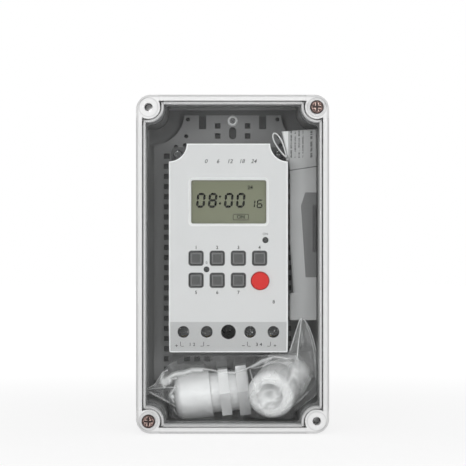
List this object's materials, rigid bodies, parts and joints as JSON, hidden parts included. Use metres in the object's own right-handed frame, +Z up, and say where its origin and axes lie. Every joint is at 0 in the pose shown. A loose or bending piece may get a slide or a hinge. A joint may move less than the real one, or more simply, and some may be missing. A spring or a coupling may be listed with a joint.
{
  "type": "digital timer switch",
  "caption": "Boxed digital timer switch: wall box with clear screwed lid, timer module with display, keys and screw terminals, bagged cable glands and leaflet.",
  "frame": {"origin": "middle of the back face of the box's base, on the wall", "axes": "+Z up the box, +Y into the wall, +X to the right as seen from in front; the lid faces -Y"},
  "size_m": [0.114, 0.075, 0.2],
  "materials": {
    "base_moulding": "satin moulded",
    "clear_lid": "clear, polished window and satin rim",
    "gasket_rubber": "soft foam rubber",
    "lid_screw_steel": "dark plated",
    "insert_brass": "turned",
    "plate_moulding": "satin moulded",
    "screw_steel": "bright zinc plated",
    "timer_white": "fine satin moulded",
    "key_grey": "satin rubberised",
    "button_red": "satin gloss",
    "black_plastic": "satin",
    "display_clear": "clear",
    "display_green": "reflective liquid crystal",
    "contact_rubber": "soft",
    "mat_rubber": "soft",
    "board_green": "lacquered",
    "relay_case": "moulded",
    "capacitor_case": "dipped",
    "battery_sleeve": "sleeved",
    "bar_brass": "stamped",
    "clamp_steel": "zinc plated",
    "nylon_white": "moulded nylon",
    "seal_rubber": "soft",
    "leaflet_paper": "thin printed",
    "bag_film": "clear thin film"
  },
  "bodies": {
    "root": {"enclosure_base": "base_moulding", "lid_gasket": "gasket_rubber", "screw_inserts": "insert_brass", "mounting_plate": "plate_moulding", "plate_screws": "screw_steel", "timer_rear_housing": "timer_white", "timer_front_cover": "timer_white", "timer_mounting_screws": "screw_steel", "housing_screws": "screw_steel", "display_window": "display_clear", "display_panel": "display_green", "contact_strips": "contact_rubber", "display_board": "board_green", "board_screws": "screw_steel", "indicator_lamp": "black_plastic", "keypad_mat": "mat_rubber", "terminal_block": "black_plastic", "current_bars": "bar_brass", "power_board": "board_green", "relay": "relay_case", "dropper_capacitor": "capacitor_case", "reservoir_capacitor": "black_plastic", "backup_battery": "battery_sleeve", "pin_header": "black_plastic", "leaflet": "leaflet_paper", "accessory_bag": "bag_film", "gland_a_body": "nylon_white", "gland_a_dome_nut": "nylon_white", "gland_a_lock_nut": "nylon_white", "gland_a_seal": "seal_rubber", "gland_b_body": "nylon_white", "gland_b_dome_nut": "nylon_white", "gland_b_lock_nut": "nylon_white", "gland_b_seal": "seal_rubber"},
    "lid": {"clear_lid": "clear_lid"},
    "lid_screw_upper_right": {"lid_screw_upper_right": "lid_screw_steel"},
    "lid_screw_lower_left": {"lid_screw_lower_left": "lid_screw_steel"},
    "manual_button": {"manual_button": "button_red"},
    "reset_button": {"reset_button": "black_plastic"},
    "key_1": {"key_1": "key_grey"},
    "key_2": {"key_2": "key_grey"},
    "key_3": {"key_3": "key_grey"},
    "key_4": {"key_4": "key_grey"},
    "key_5": {"key_5": "key_grey"},
    "key_6": {"key_6": "key_grey"},
    "key_7": {"key_7": "key_grey"},
    "terminal_screw_1": {"terminal_screw_1": "clamp_steel"},
    "clamp_cage_1": {"clamp_cage_1": "clamp_steel"},
    "terminal_screw_2": {"terminal_screw_2": "clamp_steel"},
    "clamp_cage_2": {"clamp_cage_2": "clamp_steel"},
    "terminal_screw_3": {"terminal_screw_3": "clamp_steel"},
    "clamp_cage_3": {"clamp_cage_3": "clamp_steel"},
    "terminal_screw_4": {"terminal_screw_4": "clamp_steel"},
    "clamp_cage_4": {"clamp_cage_4": "clamp_steel"}
  },
  "joints": [
    {"name": "lid_lift", "type": "slide", "parent": "root", "child": "lid", "axis": [0, -1, 0], "range_m": [0, 0.1]},
    {"name": "lid_screw_turn_upper_right", "type": "hinge", "parent": "lid", "child": "lid_screw_upper_right", "pos_m": [0.0497, -0.069, 0.0927], "axis": [0, 1, 0], "continuous": true},
    {"name": "lid_screw_turn_lower_left", "type": "hinge", "parent": "lid", "child": "lid_screw_lower_left", "pos_m": [-0.0497, -0.069, -0.0927], "axis": [0, 1, 0], "continuous": true},
    {"name": "key_press_1", "type": "slide", "parent": "root", "child": "key_1", "axis": [0, 1, 0], "range_m": [0, 0.001], "stiffness_N_per_m": 600},
    {"name": "key_press_2", "type": "slide", "parent": "root", "child": "key_2", "axis": [0, 1, 0], "range_m": [0, 0.001], "stiffness_N_per_m": 600},
    {"name": "key_press_3", "type": "slide", "parent": "root", "child": "key_3", "axis": [0, 1, 0], "range_m": [0, 0.001], "stiffness_N_per_m": 600},
    {"name": "key_press_4", "type": "slide", "parent": "root", "child": "key_4", "axis": [0, 1, 0], "range_m": [0, 0.001], "stiffness_N_per_m": 600},
    {"name": "key_press_5", "type": "slide", "parent": "root", "child": "key_5", "axis": [0, 1, 0], "range_m": [0, 0.001], "stiffness_N_per_m": 600},
    {"name": "key_press_6", "type": "slide", "parent": "root", "child": "key_6", "axis": [0, 1, 0], "range_m": [0, 0.001], "stiffness_N_per_m": 600},
    {"name": "key_press_7", "type": "slide", "parent": "root", "child": "key_7", "axis": [0, 1, 0], "range_m": [0, 0.001], "stiffness_N_per_m": 600},
    {"name": "manual_press", "type": "slide", "parent": "root", "child": "manual_button", "axis": [0, 1, 0], "range_m": [0, 0.0012], "stiffness_N_per_m": 600},
    {"name": "reset_press", "type": "slide", "parent": "root", "child": "reset_button", "axis": [0, 1, 0], "range_m": [0, 0.0008], "stiffness_N_per_m": 600},
    {"name": "terminal_turn_1", "type": "hinge", "parent": "root", "child": "terminal_screw_1", "pos_m": [-0.02925, -0.047, -0.04035], "axis": [0, 1, 0], "range_deg": [0, 1800]},
    {"name": "clamp_rise_1", "type": "slide", "parent": "root", "child": "clamp_cage_1", "axis": [0, -1, 0], "range_m": [0, 0.0035]},
    {"name": "terminal_turn_2", "type": "hinge", "parent": "root", "child": "terminal_screw_2", "pos_m": [-0.0154, -0.047, -0.04035], "axis": [0, 1, 0], "range_deg": [0, 1800]},
    {"name": "clamp_rise_2", "type": "slide", "parent": "root", "child": "clamp_cage_2", "axis": [0, -1, 0], "range_m": [0, 0.0035]},
    {"name": "terminal_turn_3", "type": "hinge", "parent": "root", "child": "terminal_screw_3", "pos_m": [0.0104, -0.047, -0.04035], "axis": [0, 1, 0], "range_deg": [0, 1800]},
    {"name": "clamp_rise_3", "type": "slide", "parent": "root", "child": "clamp_cage_3", "axis": [0, -1, 0], "range_m": [0, 0.0035]},
    {"name": "terminal_turn_4", "type": "hinge", "parent": "root", "child": "terminal_screw_4", "pos_m": [0.02425, -0.047, -0.04035], "axis": [0, 1, 0], "range_deg": [0, 1800]},
    {"name": "clamp_rise_4", "type": "slide", "parent": "root", "child": "clamp_cage_4", "axis": [0, -1, 0], "range_m": [0, 0.0035]}
  ],
  "couplings": [
    {"joint": "terminal_turn_1", "follows": "clamp_rise_1", "rad_per_m": 8976},
    {"joint": "terminal_turn_2", "follows": "clamp_rise_2", "rad_per_m": 8976},
    {"joint": "terminal_turn_3", "follows": "clamp_rise_3", "rad_per_m": 8976},
    {"joint": "terminal_turn_4", "follows": "clamp_rise_4", "rad_per_m": 8976}
  ]
}
